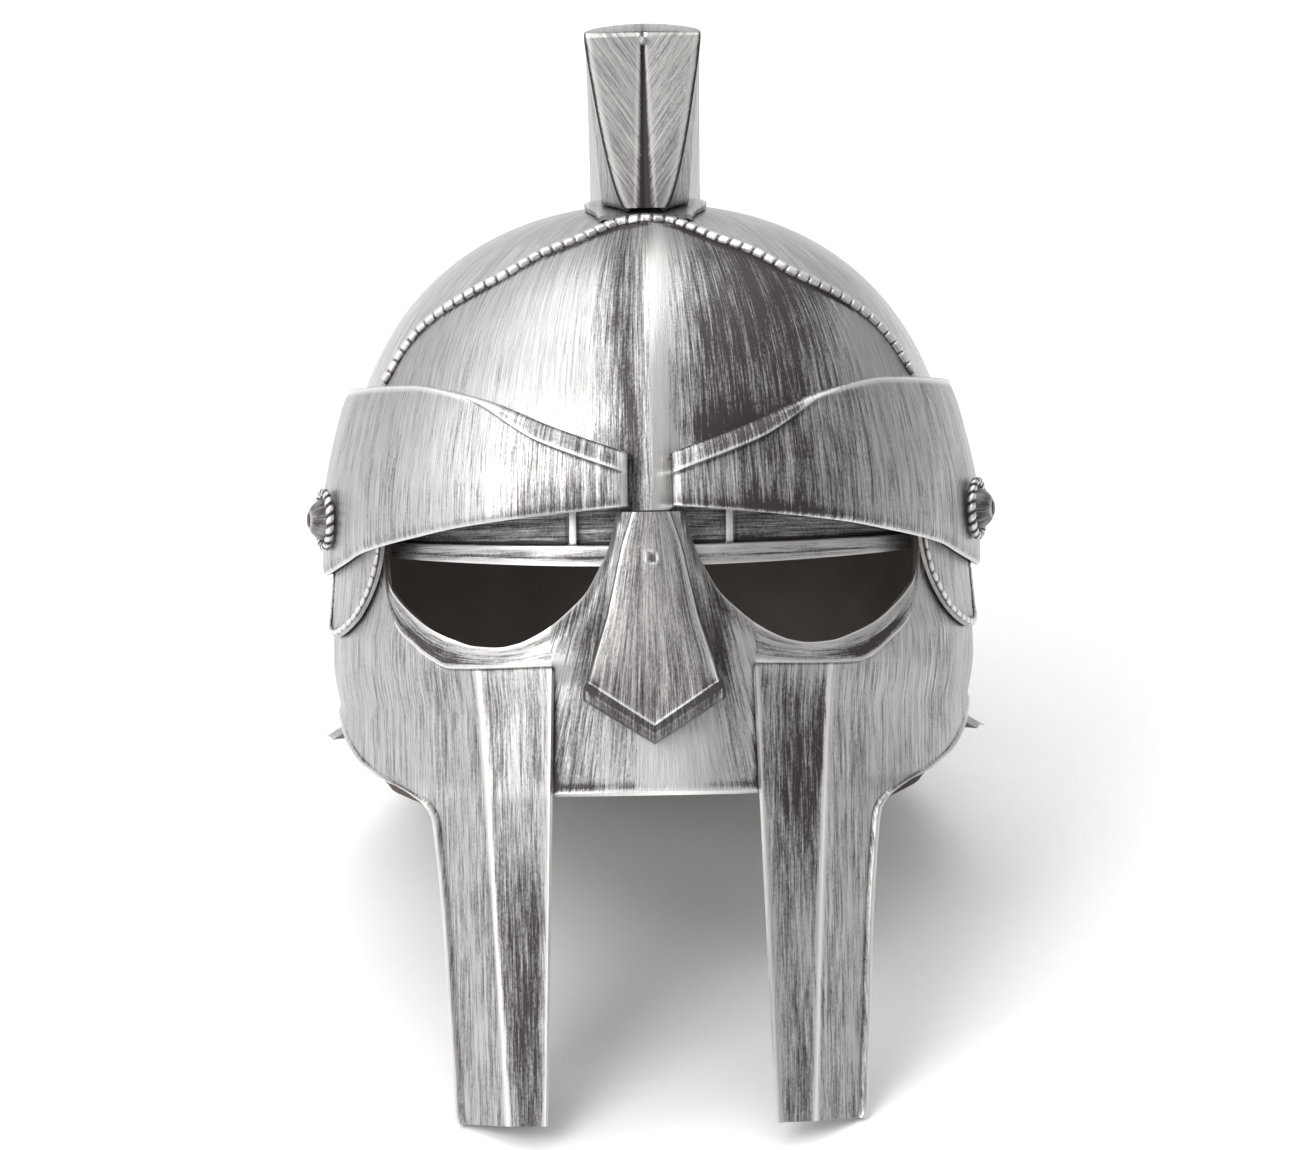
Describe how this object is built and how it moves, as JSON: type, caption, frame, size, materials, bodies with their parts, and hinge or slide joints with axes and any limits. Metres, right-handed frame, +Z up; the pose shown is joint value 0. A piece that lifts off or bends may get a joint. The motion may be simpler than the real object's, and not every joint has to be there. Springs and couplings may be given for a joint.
{
  "type": "gladiator helmet",
  "caption": "Costume gladiator helmet in dry-brushed silver: domed skull, comb crest, brow band with studs, open eyes, nose guard and two long cheek bars.",
  "frame": {"origin": "middle of the resting footprint, on the surface that the helmet rests on", "axes": "+Z up, -Y towards the face, +X to the right as seen from the front. Left and right in names are as seen from the front. The helmet is tipped back about 30 degrees onto its two bar ends and the edge of its neck guard, as it stands by itself."},
  "size_m": [0.2176, 0.3262, 0.2829],
  "materials": {
    "silver_shell": "silver paint dry-brushed over black, satin",
    "dark_silver": "silver paint worn thin over black, satin",
    "black_tip": "black, satin"
  },
  "bodies": {
    "root": {"skull_dome": "silver_shell", "neck_guard": "silver_shell", "crest_saddle": "silver_shell", "crest": "silver_shell", "crest_front": "dark_silver", "crest_pin": "dark_silver", "forehead_plate": "silver_shell", "forehead_trim": "silver_shell", "rim_band": "dark_silver", "muzzle_plate": "silver_shell", "nasal_guard": "dark_silver", "brow_band_right": "silver_shell", "brow_band_left": "silver_shell", "cheek_guard_right": "silver_shell", "cheek_guard_left": "silver_shell", "temple_tab_right": "silver_shell", "temple_tab_left": "silver_shell", "stud_right": "dark_silver", "stud_left": "dark_silver", "stud_tip_right": "black_tip", "stud_tip_left": "black_tip", "stud_ring_right": "silver_shell", "stud_ring_left": "silver_shell"}
  },
  "joints": []
}
